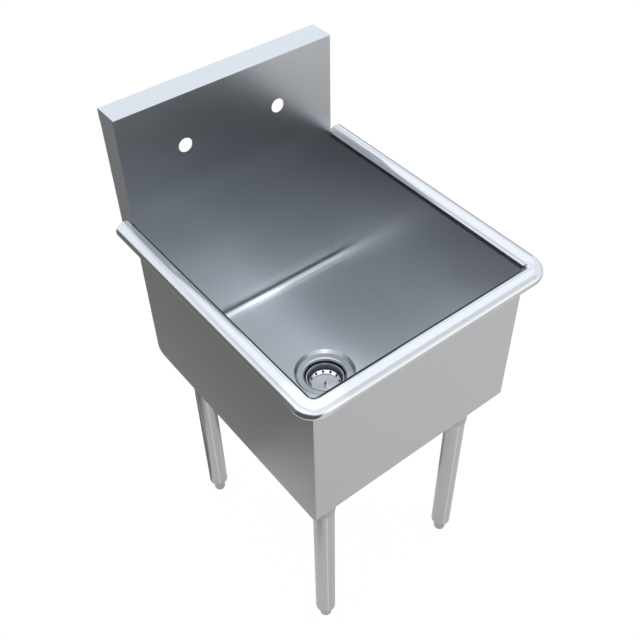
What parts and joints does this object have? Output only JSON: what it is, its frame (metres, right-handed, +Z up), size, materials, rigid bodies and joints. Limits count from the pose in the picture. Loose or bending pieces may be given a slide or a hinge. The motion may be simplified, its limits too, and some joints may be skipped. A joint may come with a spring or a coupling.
{
  "type": "utility laundry sink",
  "caption": "Free-standing stainless utility sink with a deep square bowl, rolled rim, tall boxed backsplash with tap holes, tube legs on screw feet and a basket strainer drain.",
  "frame": {"origin": "on the floor of the room, under the middle of the whole sink", "axes": "+X to the right as seen by someone at the sink, +Y from the front towards the wall, +Z up"},
  "size_m": [0.5256, 0.6133, 1.042],
  "materials": {
    "sheet_steel": "satin brushed stainless sheet",
    "leg_steel": "drawn stainless tube",
    "socket_steel": "pressed steel",
    "insert_metal": "die-cast metal",
    "foot_steel": "turned steel",
    "screw_steel": "plated steel",
    "strainer_steel": "polished stainless",
    "basket_steel": "polished stainless",
    "post_steel": "polished stainless",
    "black_rubber": "moulded rubber",
    "fibre": "pressed fibre",
    "nut_metal": "die-cast metal"
  },
  "bodies": {
    "sink": {"bowl_sheet": "sheet_steel", "left_side_panel": "sheet_steel", "right_side_panel": "sheet_steel", "left_rim_corner": "sheet_steel", "right_rim_corner": "sheet_steel", "left_splash_end": "sheet_steel", "right_splash_end": "sheet_steel", "leg_socket_front_left": "socket_steel", "leg_socket_front_right": "socket_steel", "leg_socket_rear_left": "socket_steel", "leg_socket_rear_right": "socket_steel", "socket_set_screws": "screw_steel", "leg_front_left": "leg_steel", "leg_front_right": "leg_steel", "leg_rear_left": "leg_steel", "leg_rear_right": "leg_steel", "foot_insert_front_left": "insert_metal", "foot_insert_front_right": "insert_metal", "foot_insert_rear_left": "insert_metal", "foot_insert_rear_right": "insert_metal", "strainer_body": "strainer_steel", "flange_seal": "black_rubber", "rubber_gasket": "black_rubber", "friction_ring": "fibre", "lock_nut": "nut_metal"},
    "front_left_foot": {"foot_front_left": "foot_steel"},
    "front_right_foot": {"foot_front_right": "foot_steel"},
    "rear_left_foot": {"foot_rear_left": "foot_steel"},
    "rear_right_foot": {"foot_rear_right": "foot_steel"},
    "basket": {"basket_cup": "basket_steel", "basket_post": "post_steel", "basket_stopper": "black_rubber"}
  },
  "joints": [
    {"name": "front_left_foot_screw", "type": "slide", "parent": "sink", "child": "front_left_foot", "axis": [0, 0, -1], "range_m": [-0.02, 0.006]},
    {"name": "front_right_foot_screw", "type": "slide", "parent": "sink", "child": "front_right_foot", "axis": [0, 0, -1], "range_m": [-0.02, 0.006]},
    {"name": "rear_left_foot_screw", "type": "slide", "parent": "sink", "child": "rear_left_foot", "axis": [0, 0, -1], "range_m": [-0.02, 0.006]},
    {"name": "rear_right_foot_screw", "type": "slide", "parent": "sink", "child": "rear_right_foot", "axis": [0, 0, -1], "range_m": [-0.02, 0.006]},
    {"name": "basket_lift", "type": "slide", "parent": "sink", "child": "basket", "axis": [0, 0, 1], "range_m": [0, 0.42]}
  ]
}
